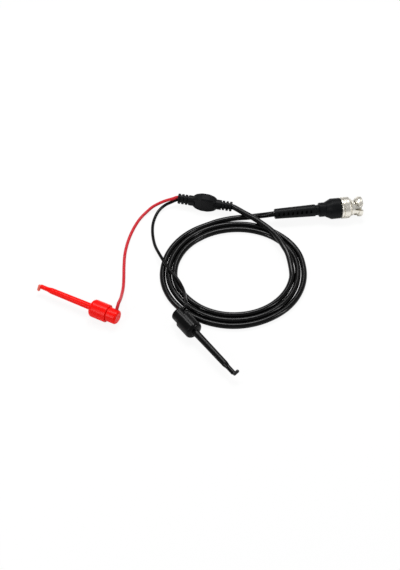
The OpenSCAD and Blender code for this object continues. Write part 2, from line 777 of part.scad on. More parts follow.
// Barrel, nose and tongue of a clip, moulded as one
module barrel_outline() {
    r = barrel_d / 2;
    nose_r = nose_d / 2;
    fillet = 0.5;
    reach = r - nose_r - fillet;
    polygon(concat(
        [[0, 0], [r - 0.3, 0], [r, 0.3]],
        [for (t = [0 : 15 : 90])
            [nose_r + fillet + reach * cos(t), barrel_len + shoulder_round_len * sin(t)]],
        [[nose_r, barrel_end + fillet], [nose_tip_d / 2, nose_end]],
        [[tongue_d / 2, tongue_start], [tongue_d / 2, tongue_end], [0, tongue_end]]
    ));
}

module clip_barrel() {
    difference() {
        rotate_extrude() barrel_outline();
        rod(cap_d + 2 * running_clear, -overlap, barrel_bore_len);
        rod(wire_d + 2 * running_clear, 0, tongue_end + overlap);
    }
}

module clip_cap(lead_tilt) {
    r = cap_d / 2;
    difference() {
        rotate_extrude() polygon(concat(
            [[0, -cap_len]],
            arc([r - cap_round, -cap_len + cap_round], cap_round, -90, 0, 5),
            [[r, cap_inside_len - 0.3], [r - 0.3, cap_inside_len], [0, cap_inside_len]]
        ));
        rod(pocket_d, -pocket_depth, cap_inside_len + overlap);
        rod(terminal_d + 2 * seat_gap, terminal_rear - seat_gap, 0);
        translate([0, 0, -lead_hole_back])
            rotate([0, 0, 180 - lead_tilt]) rotate([0, 90, 0]) cylinder(h = cap_d, d = lead_hole_d);
    }
}

module clip_terminal() {
    difference() {
        rod(terminal_d, terminal_rear, -pocket_depth);
        rod(wire_d + 2 * seat_gap, terminal_rear + 1, 0);
    }
}

module clip_hook(roll) {
    rod(wire_d, terminal_rear + 1 + seat_gap, leg_at);
    translate([0, 0, leg_at]) sphere(d = wire_d);
    translate([0, 0, leg_at]) rotate([0, 0, 90 - roll]) rotate([0, 90, 0]) {
        cylinder(h = leg_len - wire_d / 2, d = wire_d);
        translate([0, 0, leg_len - wire_d / 2]) sphere(d = wire_d);
    }
}

module clip_spring() {
    r = (spring_d - spring_wire_d) / 2;
    low = -pocket_depth + spring_wire_d / 2 + seat_gap;
    high = barrel_bore_len - spring_wire_d / 2 - seat_gap;
    turn_steps = 12;
    steps = spring_turns * turn_steps;
    tube([for (i = [0 : steps])
        let (t = 360 * i / turn_steps)
        [r * cos(t), r * sin(t), low + (high - low) * i / steps]], spring_wire_d / 2, 6);
}

module red_clip_barrel() {
    color(clip_red) on_clip(red_at, red_turn) clip_barrel();
}

module red_clip_cap() {
    color(clip_red) on_clip(red_at, red_turn) clip_cap(red_lead_tilt);
}

module red_clip_hook() {
    color(clip_red * 0.7) on_clip(red_at, red_turn) clip_hook(red_roll);
}

module red_clip_spring() {
    color(spring_steel) on_clip(red_at, red_turn) clip_spring();
}

module red_clip_terminal() {
    color(gilt) on_clip(red_at, red_turn) clip_terminal();
}

module black_clip_barrel() {
    color(clip_black) on_clip(black_at, black_turn) clip_barrel();
}

module black_clip_cap() {
    color(clip_black) on_clip(black_at, black_turn) clip_cap(black_lead_tilt);
}

module black_clip_hook() {
    color(clip_black) on_clip(black_at, black_turn) clip_hook(black_roll);
}

module black_clip_spring() {
    color(spring_steel) on_clip(black_at, black_turn) clip_spring();
}

module black_clip_terminal() {
    color(gilt) on_clip(black_at, black_turn) clip_terminal();
}

plug_boot();
plug_body();
coupling_nut();
outer_contact();
insulator();
centre_pin();
thrust_washer();
wave_washer();
retaining_ring();
gasket();
plug_cable();
cable_coil();
splitter_cable();
splitter_body();
red_lead();
black_lead();
red_clip_barrel();
red_clip_cap();
red_clip_hook();
red_clip_spring();
red_clip_terminal();
black_clip_barrel();
black_clip_cap();
black_clip_hook();
black_clip_spring();
black_clip_terminal();
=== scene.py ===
"""Looks of a coaxial test lead: bayonet plug, coiled cable, splitter and two hook clips.

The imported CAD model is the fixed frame. The cords, springs and wave washer are made here in place
of their plain solids, and every other node keeps its shape and gets its finish. Lengths are in
millimetres until a mesh is made, in the frame of the CAD model. Those of a finish are in metres.
"""

from __future__ import annotations

import json
import logging
import math
from dataclasses import dataclass
from enum import Enum
from typing import Callable, Iterable, Sequence

import bpy  # noqa: E402
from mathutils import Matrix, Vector  # noqa: E402

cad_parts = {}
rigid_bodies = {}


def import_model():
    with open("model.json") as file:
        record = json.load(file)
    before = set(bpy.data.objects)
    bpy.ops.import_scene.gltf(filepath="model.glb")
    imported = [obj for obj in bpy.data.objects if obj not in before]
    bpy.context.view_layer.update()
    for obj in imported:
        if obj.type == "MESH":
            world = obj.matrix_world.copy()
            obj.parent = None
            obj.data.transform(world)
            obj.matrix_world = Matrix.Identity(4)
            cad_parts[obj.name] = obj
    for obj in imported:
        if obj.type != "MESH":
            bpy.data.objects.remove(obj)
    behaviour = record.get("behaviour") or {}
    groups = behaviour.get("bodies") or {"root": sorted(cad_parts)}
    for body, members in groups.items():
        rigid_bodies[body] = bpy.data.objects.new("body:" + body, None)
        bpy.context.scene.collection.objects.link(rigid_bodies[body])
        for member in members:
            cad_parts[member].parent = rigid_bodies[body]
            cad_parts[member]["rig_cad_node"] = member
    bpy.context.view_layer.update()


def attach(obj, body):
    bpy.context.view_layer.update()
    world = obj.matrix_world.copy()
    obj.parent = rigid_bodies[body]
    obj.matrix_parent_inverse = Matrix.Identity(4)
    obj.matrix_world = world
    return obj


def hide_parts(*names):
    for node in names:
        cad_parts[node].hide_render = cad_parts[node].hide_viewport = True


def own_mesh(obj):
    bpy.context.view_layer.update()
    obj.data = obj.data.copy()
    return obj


log = logging.getLogger("test_lead")

MM = 0.001
# The body that every piece made here rides on
LEAD_BODY = "lead"
WHITE = (1.0, 1.0, 1.0, 1.0)

Point = tuple[float, float, float]


class Slot(str, Enum):
    """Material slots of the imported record."""

    BOOT = "boot_vinyl"
    NICKEL = "nickel_plate"
    GOLD = "gold_plate"
    INSULATOR = "white_insulator"
    SPRING = "spring_steel"
    SILICONE = "silicone"
    CABLE = "cable_jacket"
    RED_JACKET = "red_jacket"
    BLACK_JACKET = "black_jacket"
    RED_NYLON = "red_nylon"
    BLACK_NYLON = "black_nylon"
    RED_WIRE = "red_wire"
    BLACK_WIRE = "black_wire"


class Lay(str, Enum):
    """How a cord lies."""

    COILED = "coiled"
    LOOSE = "loose"


class Stiffness(str, Enum):
    """How stiff a cord is."""

    LIMP = "limp"
    MEDIUM = "medium"


# Shader nodes


class Sheet:
    """A node tree being drawn, with short ways to add and join nodes."""

    def __init__(self, tree: bpy.types.NodeTree) -> None:
        """Starts on a node tree.

        Args:
            tree: The tree that the nodes go into.
        """
        self.tree = tree

    def add(self, kind: str, **settings: object) -> bpy.types.Node:
        """Adds a node.

        Args:
            kind: Blender's name of the node type.
            **settings: Attributes to set on it.

        Returns:
            The new node.
        """
        node = self.tree.nodes.new(kind)
        for name, value in settings.items():
            setattr(node, name, value)
        return node

    def join(self, source: bpy.types.NodeSocket, target: bpy.types.NodeSocket) -> None:
        """Links an output to an input."""
        self.tree.links.new(source, target)

    def maths(self, operation: str, first: object, second: object) -> bpy.types.NodeSocket:
        """Adds a Math node.

        Args:
            operation: Blender's name of the operation.
            first: A socket or a number.
            second: A socket or a number.

        Returns:
            The result's socket.
        """
        node = self.add("ShaderNodeMath", operation=operation)
        for socket, value in zip(node.inputs, (first, second)):
            if isinstance(value, bpy.types.NodeSocket):
                self.join(value, socket)
            else:
                socket.default_value = float(value)  # type: ignore[arg-type]
        return node.outputs[0]


def new_group(
    name: str,
    inputs: Sequence[tuple[str, str, object]],
    outputs: Sequence[tuple[str, str]],
) -> tuple[Sheet, bpy.types.Node, bpy.types.Node]:
    """Starts a shader node group with named sockets.

    Args:
        name: The group's name.
        inputs: For each input its name, socket type and default.
        outputs: For each output its name and socket type.

    Returns:
        The group's sheet, its input node and its output node.
    """
    tree = bpy.data.node_groups.new(name, "ShaderNodeTree")
    for label, kind, value in inputs:
        socket = tree.interface.new_socket(name=label, in_out="INPUT", socket_type=kind)
        socket.default_value = value
    for label, kind in outputs:
        tree.interface.new_socket(name=label, in_out="OUTPUT", socket_type=kind)
    sheet = Sheet(tree)
    return sheet, sheet.add("NodeGroupInput"), sheet.add("NodeGroupOutput")


def moulding_grain() -> bpy.types.NodeTree:
    """Makes the group for plastic: a faint mottle, uneven gloss and a fine grain.

    Returns:
        The node group, with Colour, Roughness and Height outputs.
    """
    sheet, given, result = new_group(
        "MouldingGrain",
        [
            ("Colour", "NodeSocketColor", (0.5, 0.5, 0.5, 1)),
            ("Mottle Colour", "NodeSocketColor", (0.6, 0.6, 0.6, 1)),
            ("Mottle", "NodeSocketFloat", 0.3),
            ("Roughness", "NodeSocketFloat", 0.4),
            ("Gloss Spread", "NodeSocketFloat", 0.08),
            ("Grain Scale", "NodeSocketFloat", 2500.0),
        ],
        [
            ("Colour", "NodeSocketColor"),
            ("Roughness", "NodeSocketFloat"),
            ("Height", "NodeSocketFloat"),
        ],
    )
    place = sheet.add("ShaderNodeTexCoord")
    broad = sheet.add("ShaderNodeTexNoise")
    broad.inputs["Scale"].default_value = 320.0
    broad.inputs["Detail"].default_value = 3.0
    fine = sheet.add("ShaderNodeTexNoise")
    fine.inputs["Detail"].default_value = 2.0
    sheet.join(given.outputs["Grain Scale"], fine.inputs["Scale"])
    for noise in (broad, fine):
        sheet.join(place.outputs["Object"], noise.inputs["Vector"])
    share = sheet.maths("MULTIPLY", broad.outputs["Fac"], given.outputs["Mottle"])
    blend = sheet.add("ShaderNodeMix", data_type="RGBA")
    sheet.join(share, blend.inputs["Factor"])
    sheet.join(given.outputs["Colour"], blend.inputs["A"])
    sheet.join(given.outputs["Mottle Colour"], blend.inputs["B"])
    sheet.join(blend.outputs["Result"], result.inputs["Colour"])
    about_zero = sheet.maths("SUBTRACT", broad.outputs["Fac"], 0.5)
    swing = sheet.maths("MULTIPLY", about_zero, given.outputs["Gloss Spread"])
    sheet.join(sheet.maths("ADD", given.outputs["Roughness"], swing), result.inputs["Roughness"])
    sheet.join(fine.outputs["Fac"], result.inputs["Height"])
    return sheet.tree


def handling_marks() -> bpy.types.NodeTree:
    """Makes the group for light rubbing and fine scratches from handling.

    Returns:
        The node group, with a Mask output.
    """
    sheet, given, result = new_group(
        "HandlingMarks",
        [("Scale", "NodeSocketFloat", 180.0), ("Amount", "NodeSocketFloat", 0.3)],
        [("Mask", "NodeSocketFloat")],
    )
    place = sheet.add("ShaderNodeTexCoord")
    patch = sheet.add("ShaderNodeTexNoise")
    patch.inputs["Detail"].default_value = 4.0
    patch.inputs["Roughness"].default_value = 0.7
    sheet.join(place.outputs["Object"], patch.inputs["Vector"])
    sheet.join(given.outputs["Scale"], patch.inputs["Scale"])
    stretch = sheet.add("ShaderNodeMapping")
    stretch.inputs["Scale"].default_value = (1.0, 7.0, 7.0)
    stretch.inputs["Rotation"].default_value = (0.3, 0.5, 0.8)
    sheet.join(place.outputs["Object"], stretch.inputs["Vector"])
    scratch = sheet.add("ShaderNodeTexNoise")
    scratch.inputs["Scale"].default_value = 700.0
    scratch.inputs["Detail"].default_value = 2.0
    sheet.join(stretch.outputs["Vector"], scratch.inputs["Vector"])
    picked = sheet.add("ShaderNodeMapRange")
    picked.inputs["From Min"].default_value = 0.55
    picked.inputs["From Max"].default_value = 0.75
    sheet.join(patch.outputs["Fac"], picked.inputs["Value"])
    lines = sheet.add("ShaderNodeMapRange")
    lines.inputs["From Min"].default_value = 0.60
    lines.inputs["From Max"].default_value = 0.68
    sheet.join(scratch.outputs["Fac"], lines.inputs["Value"])
    both = sheet.maths("ADD", picked.outputs["Result"], lines.outputs["Result"])
    both = sheet.maths("MULTIPLY", both, given.outputs["Amount"])
    sheet.join(sheet.maths("MINIMUM", both, 1.0), result.inputs["Mask"])
    return sheet.tree


def turned_marks() -> bpy.types.NodeTree:
    """Makes the group for the fine rings that turning leaves round the plug's axis.

    Returns:
        The node group, with Height and Shade outputs.
    """
    sheet, given, result = new_group(
        "TurnedMarks",
        [("Rings Per Metre", "NodeSocketFloat", 9000.0)],
        [("Height", "NodeSocketFloat"), ("Shade", "NodeSocketFloat")],
    )
    place = sheet.add("ShaderNodeTexCoord")
    split = sheet.add("ShaderNodeSeparateXYZ")
    sheet.join(place.outputs["Object"], split.inputs["Vector"])
    along = sheet.maths("MULTIPLY", split.outputs["X"], given.outputs["Rings Per Metre"])
    rings = sheet.add("ShaderNodeTexNoise", noise_dimensions="1D")
    rings.inputs["Scale"].default_value = 1.0
    rings.inputs["Detail"].default_value = 3.0
    sheet.join(along, rings.inputs["W"])
    sheet.join(rings.outputs["Fac"], result.inputs["Height"])
    wide = sheet.add("ShaderNodeTexNoise", noise_dimensions="1D")
    wide.inputs["Scale"].default_value = 0.12
    wide.inputs["Detail"].default_value = 2.0
    sheet.join(along, wide.inputs["W"])
    sheet.join(wide.outputs["Fac"], result.inputs["Shade"])
    return sheet.tree


class GroupStore:
    """Builds each node group once and hands it out again."""

    def __init__(self) -> None:
        """Starts with no groups made."""
        self.made: dict[str, bpy.types.NodeTree] = {}

    def place(
        self, sheet: Sheet, maker: Callable[[], bpy.types.NodeTree], **values: object
    ) -> bpy.types.Node:
        """Puts a group into a material.

        Args:
            sheet: The material's sheet.
            maker: The function that builds the group.
            **values: Input values, by name with _ for a space.

        Returns:
            The group's node.
        """
        if maker.__name__ not in self.made:
            self.made[maker.__name__] = maker()
        node = sheet.add("ShaderNodeGroup")
        node.node_tree = self.made[maker.__name__]
        for name, value in values.items():
            node.inputs[name.replace("_", " ")].default_value = value
        return node


GROUPS = GroupStore()


def rgba(colour: Point) -> tuple[float, float, float, float]:
    """Adds full alpha to a colour."""
    return (*colour, 1.0)


def start_material(name: str) -> tuple[bpy.types.Material, Sheet, bpy.types.Node]:
    """Starts a material with only a Principled shader.

    Args:
        name: The material's name.

    Returns:
        The material, its sheet and its shader node.
    """
    material = bpy.data.materials.new(name)
    material.use_nodes = True
    material.node_tree.nodes.clear()
    sheet = Sheet(material.node_tree)
    shader = sheet.add("ShaderNodeBsdfPrincipled")
    output = sheet.add("ShaderNodeOutputMaterial")
    sheet.join(shader.outputs["BSDF"], output.inputs["Surface"])
    return material, sheet, shader


@dataclass(frozen=True)
class Plastic:
    """A moulded or extruded plastic.

    Attributes:
        name: The material's name.
        colour: Its colour, linear.
        mottle_colour: The colour of its faint cloudy patches.
        roughness: Its mean roughness.
        gloss_spread: How far the roughness swings.
        grain_scale: Grains per metre.
        grain_height: Height of the grain, in metres.
        marks: How much handling shows.
        mark_colour: The colour of rubbed places.
        specular: Specular level at the shader.
        mottle: How strongly the cloudy patches show.
        mark_roughness: How much rougher a rubbed place is.
        grain_strength: Strength of the grain's bump.
    """

    name: str
    colour: Point
    mottle_colour: Point
    roughness: float = 0.4
    gloss_spread: float = 0.12
    grain_scale: float = 2500.0
    grain_height: float = 0.00002
    marks: float = 0.15
    mark_colour: Point = (0.05, 0.05, 0.05)
    specular: float = 0.5
    mottle: float = 0.6
    mark_roughness: float = 0.25
    grain_strength: float = 0.5

    def build(self) -> bpy.types.Material:
        """Makes the material.

        Returns:
            The material.
        """
        material, sheet, shader = start_material(self.name)
        grain = GROUPS.place(
            sheet,
            moulding_grain,
            Colour=rgba(self.colour),
            Mottle_Colour=rgba(self.mottle_colour),
            Mottle=self.mottle,
            Roughness=self.roughness,
            Gloss_Spread=self.gloss_spread,
            Grain_Scale=self.grain_scale,
        )
        marks = GROUPS.place(sheet, handling_marks, Amount=self.marks)
        rubbed = sheet.add("ShaderNodeMix", data_type="RGBA")
        rubbed.inputs["B"].default_value = rgba(self.mark_colour)
        sheet.join(marks.outputs["Mask"], rubbed.inputs["Factor"])
        sheet.join(grain.outputs["Colour"], rubbed.inputs["A"])
        sheet.join(rubbed.outputs["Result"], shader.inputs["Base Color"])
        duller = sheet.maths("MULTIPLY_ADD", marks.outputs["Mask"], self.mark_roughness)
        sheet.join(grain.outputs["Roughness"], duller.node.inputs[2])
        sheet.join(duller, shader.inputs["Roughness"])
        bump = sheet.add("ShaderNodeBump")
        bump.inputs["Strength"].default_value = self.grain_strength
        bump.inputs["Distance"].default_value = self.grain_height
        sheet.join(grain.outputs["Height"], bump.inputs["Height"])
        sheet.join(bump.outputs["Normal"], shader.inputs["Normal"])
        shader.inputs["Specular IOR Level"].default_value = self.specular
        return material


@dataclass(frozen=True)
class Metal:
    """A bare or plated metal.

    Attributes:
        name: The material's name.
        colour: Its colour, linear.
        shade_colour: The colour of its darker rings or patches.
        roughness: Its mean roughness.
        turned: Whether turning marks run round the plug's axis.
        ring_height: Height of the turning marks or the grain, in metres.
        ring_strength: Strength of their bump.
        grain_scale: Grains per metre, where it isn't turned.
        marks: How much handling shows.
        mark_roughness: How much rougher a rubbed place is.
    """

    name: str
    colour: Point
    shade_colour: Point
    roughness: float = 0.28
    turned: bool = False
    ring_height: float = 0.00001
    ring_strength: float = 0.4
    grain_scale: float = 4000.0
    marks: float = 0.25
    mark_roughness: float = 0.3

    def build(self) -> bpy.types.Material:
        """Makes the material.

        Returns:
            The material.
        """
        material, sheet, shader = start_material(self.name)
        shader.inputs["Metallic"].default_value = 1.0
        blend = sheet.add("ShaderNodeMix", data_type="RGBA")
        blend.inputs["A"].default_value = rgba(self.colour)
        blend.inputs["B"].default_value = rgba(self.shade_colour)
        bump = sheet.add("ShaderNodeBump")
        bump.inputs["Strength"].default_value = self.ring_strength
        bump.inputs["Distance"].default_value = self.ring_height
        marks = GROUPS.place(sheet, handling_marks, Amount=self.marks)
        if self.turned:
            rings = GROUPS.place(sheet, turned_marks)
            sheet.join(rings.outputs["Shade"], blend.inputs["Factor"])
            sheet.join(rings.outputs["Height"], bump.inputs["Height"])
        else:
            grain = GROUPS.place(sheet, moulding_grain, Grain_Scale=self.grain_scale)
            sheet.join(grain.outputs["Height"], blend.inputs["Factor"])
            sheet.join(grain.outputs["Height"], bump.inputs["Height"])
        sheet.join(blend.outputs["Result"], shader.inputs["Base Color"])
        rough = sheet.maths("MULTIPLY_ADD", marks.outputs["Mask"], self.mark_roughness)
        rough.node.inputs[2].default_value = self.roughness
        sheet.join(rough, shader.inputs["Roughness"])
        sheet.join(bump.outputs["Normal"], shader.inputs["Normal"])
        return material


BLACK_MARK: Point = (0.045, 0.045, 0.048)
RED_MARK: Point = (0.85, 0.16, 0.12)

FINISHES: dict[Slot, Plastic | Metal] = {
    Slot.BOOT: Plastic(
        name="BootVinyl",
        colour=(0.0020, 0.0023, 0.0027),
        mottle_colour=(0.0042, 0.0047, 0.0054),
        roughness=0.38,
        gloss_spread=0.12,
        grain_scale=2600,
        grain_height=0.00003,
        marks=0.06,
        mark_colour=BLACK_MARK,
        specular=0.09,
    ),
    Slot.CABLE: Plastic(
        name="CableJacket",
        colour=(0.0006, 0.0006, 0.0007),
        mottle_colour=(0.0012, 0.0012, 0.0014),
        roughness=0.17,
        gloss_spread=0.02,
        grain_scale=2500,
        grain_height=0.0000005,
        marks=0.01,
        mark_colour=BLACK_MARK,
        specular=0.16,
    ),
    Slot.BLACK_JACKET: Plastic(
        name="BlackLeadJacket",
        colour=(0.0006, 0.0006, 0.0007),
        mottle_colour=(0.0012, 0.0012, 0.0014),
        roughness=0.19,
        gloss_spread=0.02,
        grain_scale=2500,
        grain_height=0.0000005,
        marks=0.01,
        mark_colour=BLACK_MARK,
        specular=0.14,
    ),
    Slot.RED_JACKET: Plastic(
        name="RedLeadJacket",
        colour=(0.47, 0.012, 0.020),
        mottle_colour=(0.54, 0.021, 0.032),
        roughness=0.30,
        gloss_spread=0.04,
        grain_scale=3000,
        grain_height=0.000001,
        marks=0.05,
        mark_colour=(0.62, 0.11, 0.12),
        specular=0.16,
    ),
    Slot.RED_NYLON: Plastic(
        name="RedNylon",
        colour=(0.80, 0.003, 0.001),
        mottle_colour=(0.84, 0.006, 0.003),
        roughness=0.26,
        gloss_spread=0.04,
        grain_scale=2200,
        grain_height=0.000001,
        marks=0.02,
        mark_colour=(0.80, 0.14, 0.10),
        specular=0.11,
    ),
    Slot.BLACK_NYLON: Plastic(
        name="BlackNylon",
        colour=(0.0008, 0.0008, 0.0009),
        mottle_colour=(0.0016, 0.0016, 0.0018),
        roughness=0.24,
        gloss_spread=0.04,
        grain_scale=2200,
        grain_height=0.000001,
        marks=0.02,
        mark_colour=BLACK_MARK,
        specular=0.11,
    ),
    Slot.RED_WIRE: Plastic(
        name="RedWireCoat",
        colour=(0.68, 0.095, 0.062),
        mottle_colour=(0.74, 0.13, 0.09),
        roughness=0.34,
        gloss_spread=0.10,
        grain_scale=3500,
        grain_height=0.00001,
        marks=0.25,
        mark_colour=(0.80, 0.34, 0.26),
        specular=0.4,
    ),
    Slot.BLACK_WIRE: Plastic(
        name="BlackWireCoat",
        colour=(0.0040, 0.0040, 0.0043),
        mottle_colour=(0.008, 0.008, 0.009),
        roughness=0.36,
        gloss_spread=0.10,
        grain_scale=3500,
        grain_height=0.00001,
        marks=0.15,
        mark_colour=BLACK_MARK,
        specular=0.3,
    ),
    Slot.INSULATOR: Plastic(
        name="WhiteInsulator",
        colour=(0.80, 0.80, 0.77),
        mottle_colour=(0.72, 0.72, 0.68),
        roughness=0.5,
        gloss_spread=0.1,
        grain_scale=2500,
        grain_height=0.00001,
        marks=0.05,
        mark_colour=(0.6, 0.6, 0.55),
        specular=0.4,
    ),
    Slot.SILICONE: Plastic(
        name="RedSilicone",
        colour=(0.34, 0.022, 0.014),
        mottle_colour=(0.40, 0.035, 0.022),
        roughness=0.5,
        gloss_spread=0.1,
        grain_scale=2500,
        grain_height=0.00002,
        marks=0.05,
        mark_colour=RED_MARK,
        specular=0.4,
    ),
    Slot.NICKEL: Metal(
        name="NickelPlate",
        colour=(0.81, 0.78, 0.71),
        shade_colour=(0.70, 0.67, 0.60),
        roughness=0.27,
        turned=True,
        ring_height=0.000001,
    ),
    Slot.GOLD: Metal(
        name="GoldPlate",
        colour=(0.80, 0.56, 0.20),
        shade_colour=(0.70, 0.47, 0.15),
        roughness=0.22,
    ),
    Slot.SPRING: Metal(
        name="SpringSteel",
        colour=(0.52, 0.51, 0.50),
        shade_colour=(0.42, 0.41, 0.40),
        roughness=0.32,
    ),
}


class FinishStore:
    """Builds each finish once and puts it on pieces."""

    def __init__(self) -> None:
        """Starts with no materials made."""
        self.made: dict[Slot, bpy.types.Material] = {}

    def material(self, slot: Slot) -> bpy.types.Material:
        """Gives the material of a slot, built at its first use.

        Args:
            slot: The material slot.

        Returns:
            The material.
        """
        if slot not in self.made:
            self.made[slot] = FINISHES[slot].build()
        return self.made[slot]

    def dress(self, piece: bpy.types.Object, slot: Slot) -> None:
        """Replaces all materials of a piece by a slot's own."""
        piece.data.materials.clear()
        piece.data.materials.append(self.material(slot))


STORE = FinishStore()


# Routes and meshes


@dataclass(frozen=True)
class Coil:
    """The flat coil that the coaxial cable is wound in.

    Attributes:
        centre: The coil's centre.
        outer_r: Radius of the CAD ring's outer edge.
        height: Height of the turns' centreline.
        turns: Bearings in degrees, counted on from turn to turn, and the centreline's radius there.
    """

    centre: tuple[float, float] = (16.95, 7.15)
    outer_r: float = 49.0
    height: float = 1.9
    turns: tuple[tuple[float, float], ...] = (
        (106, 45.6), (120, 45.8), (135, 46.2), (150, 46.7), (165, 47.2), (180, 47.9), (190, 48.2),
        (200, 48.25), (212, 48.0), (225, 47.5), (240, 47.0), (255, 46.6), (270, 46.2), (285, 45.9),
        (300, 45.9), (315, 46.25), (330, 46.35), (345, 46.45), (360, 46.5), (375, 46.75),
        (390, 46.1), (405, 45.2), (422, 44.0), (438, 43.0), (450, 42.3), (465, 41.95), (480, 41.9),
        (500, 42.15), (520, 42.95), (540, 43.85), (550, 43.9), (560, 43.65), (572, 43.35),
        (585, 43.05), (595, 42.85), (607, 42.5), (630, 41.9), (652, 41.8), (675, 42.05),
        (690, 42.2), (700, 42.25), (710, 42.35), (720, 42.5), (735, 42.5), (745, 42.0), (760, 41.0),
        (778, 39.4), (798, 37.95), (812, 37.35), (826, 37.15), (842, 37.3), (855, 37.95),
        (870, 38.5), (885, 39.25), (900, 39.8), (912, 39.8), (922, 39.3), (932, 38.85), (945, 38.6),
        (956, 38.3), (965, 38.05), (990, 37.5), (1020, 37.6), (1035, 37.8), (1050, 38.15),
        (1060, 38.35), (1068, 38.5),
    )

    def beside(self, out: float, bearing: float, height: float) -> Vector:
        """Gives a point beside the coil.

        Args:
            out: Distance outside the ring's outer edge.
            bearing: Bearing from the coil's centre, in degrees.
            height: Height above the table.

        Returns:
            The point.
        """
        radius, turn = self.outer_r + out, math.radians(bearing)
        x, y = self.centre
        return Vector((x + radius * math.cos(turn), y + radius * math.sin(turn), height))

    def radius_at(self, bearing: float) -> float:
        """Reads the centreline's radius, on a smooth curve through the listed turns.

        Args:
            bearing: Bearing in degrees, counted on from turn to turn.

        Returns:
            The radius.
        """
        knots = self.turns
        i = max(k for k in range(len(knots) - 1) if knots[k][0] <= bearing or k == 0)
        around = (min(max(j, 0), len(knots) - 1) for j in (i - 1, i, i + 1, i + 2))
        before, a, b, after = (knots[j] for j in around)
        span = b[0] - a[0]
        t = (bearing - a[0]) / span
        slope_a = (b[1] - before[1]) / max(b[0] - before[0], 1) * span
        slope_b = (after[1] - a[1]) / max(after[0] - a[0], 1) * span
        return (
            (2 * t**3 - 3 * t**2 + 1) * a[1]
            + (t**3 - 2 * t**2 + t) * slope_a
            + (3 * t**2 - 2 * t**3) * b[1]
            + (t**3 - t**2) * slope_b
        )

    def winding(self, step: float = 12) -> list[Vector]:
        """Gives the points of the turns.

        Args:
            step: Angle between points, in degrees.

        Returns:
            Points from the first turn's start to the last one's end.
        """
        first, last = self.turns[0][0], self.turns[-1][0]
        count = round((last - first) / step)
        bearings = (first + (last - first) * i / count for i in range(count + 1))
        return [self.beside(self.radius_at(b) - self.outer_r, b, self.height) for b in bearings]


COIL = Coil()


def smooth_route(points: Sequence[Vector], pieces: int = 6) -> list[Vector]:
    """Runs a smooth curve through points that may be unevenly spaced.

    The curve is centripetal, so that points close together make no loop.

    Args:
        points: The points that the curve passes through.
        pieces: Number of pieces between two points.

    Returns:
        The curve's points.
    """
    ends = [2 * points[0] - points[1], *points, 2 * points[-1] - points[-2]]
    route: list[Vector] = []
    for p0, p1, p2, p3 in zip(ends, ends[1:], ends[2:], ends[3:]):
        gaps = [max((b - a).length, 1e-6) ** 0.5 for a, b in ((p0, p1), (p1, p2), (p2, p3))]
        t1, t2 = gaps[0], gaps[0] + gaps[1]
        t3 = t2 + gaps[2]
        for i in range(pieces):
            t = t1 + (t2 - t1) * i / pieces
            a1 = p0 * (t1 - t) / t1 + p1 * t / t1
            a2 = p1 * (t2 - t) / (t2 - t1) + p2 * (t - t1) / (t2 - t1)
            a3 = p2 * (t3 - t) / (t3 - t2) + p3 * (t - t2) / (t3 - t2)
            b1 = a1 * (t2 - t) / t2 + a2 * t / t2
            b2 = a2 * (t3 - t) / (t3 - t1) + a3 * (t - t1) / (t3 - t1)
            route.append(b1 * (t2 - t) / (t2 - t1) + b2 * (t - t1) / (t2 - t1))
    route.append(points[-1])
    return route


# How much wider a cord is drawn, since the flats between its corners lie inside its circle
FLATS = 1.025


def cord_curve(name: str, route: Sequence[Vector], diameter: float) -> bpy.types.Object:
    """Makes a cord as a round curve of one open spline.

    Args:
        name: The piece's name.
        route: Its points, in millimetres.
        diameter: Its diameter, in millimetres.

    Returns:
        The curve object.
    """
    curve = bpy.data.curves.new(name, "CURVE")
    curve.dimensions = "3D"
    curve.bevel_depth = diameter / 2 * MM * FLATS
    curve.bevel_resolution = 5
    curve.use_fill_caps = True
    spline = curve.splines.new("POLY")
    spline.points.add(len(route) - 1)
    for point, at in zip(spline.points, route):
        point.co = (*(at * MM), 1.0)
    spline.use_smooth = True
    piece = bpy.data.objects.new(name, curve)
    bpy.context.scene.collection.objects.link(piece)
    return piece


def band_mesh(name: str, sections: Sequence[Sequence[Vector]], closed: bool) -> bpy.types.Object:
    """Makes a mesh from cross-sections, each joined to the next.

    Args:
        name: The piece's name.
        sections: The corners of each section, in millimetres.
        closed: Whether the last section joins the first.

    Returns:
        The mesh object, smooth shaded.
    """
    sides, count = len(sections[0]), len(sections)
    corners = [tuple(c * MM) for section in sections for c in section]
    faces: list[tuple[int, ...]] = []
    for i in range(count if closed else count - 1):
        j = (i + 1) % count
        for k in range(sides):
            m = (k + 1) % sides
            faces.append((i * sides + k, i * sides + m, j * sides + m, j * sides + k))
    if not closed:
        faces.append(tuple(reversed(range(sides))))
        faces.append(tuple(range((count - 1) * sides, count * sides)))
    mesh = bpy.data.meshes.new(name)
    mesh.from_pydata(corners, [], faces)
    mesh.validate()
    mesh.shade_smooth()
    piece = bpy.data.objects.new(name, mesh)
    bpy.context.scene.collection.objects.link(piece)
    return piece


def round_sections(route: Sequence[Vector], radius: float, sides: int) -> list[list[Vector]]:
    """Sets round cross-sections along a route.

    Args:
        route: The centreline's points.
        radius: The round's radius.
        sides: Corners of each section.

    Returns:
        The sections' corners.
    """
    sections = []
    for i, at in enumerate(route):
        along = (route[min(i + 1, len(route) - 1)] - route[max(i - 1, 0)]).normalized()
        side = along.cross(Vector((0, 0, 1))).normalized()
        up = side.cross(along)
        turns = (math.tau * k / sides for k in range(sides))
        sections.append([at + radius * (math.cos(t) * side + math.sin(t) * up) for t in turns])
    return sections


def cad_node(name: str) -> bpy.types.Object:
    """Finds a CAD node's object."""
    return next(o for o in bpy.data.objects if o.get("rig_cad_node") == name)


def dress_nodes(names: Iterable[str], slot: Slot) -> None:
    """Gives CAD nodes a finish.

    Args:
        names: The nodes' names.
        slot: The material slot.
    """
    for name in names:
        piece = cad_node(name)
        STORE.dress(piece, slot)
        log.info("dressed node %s as %s", name, slot.value)


# Sub-assemblies


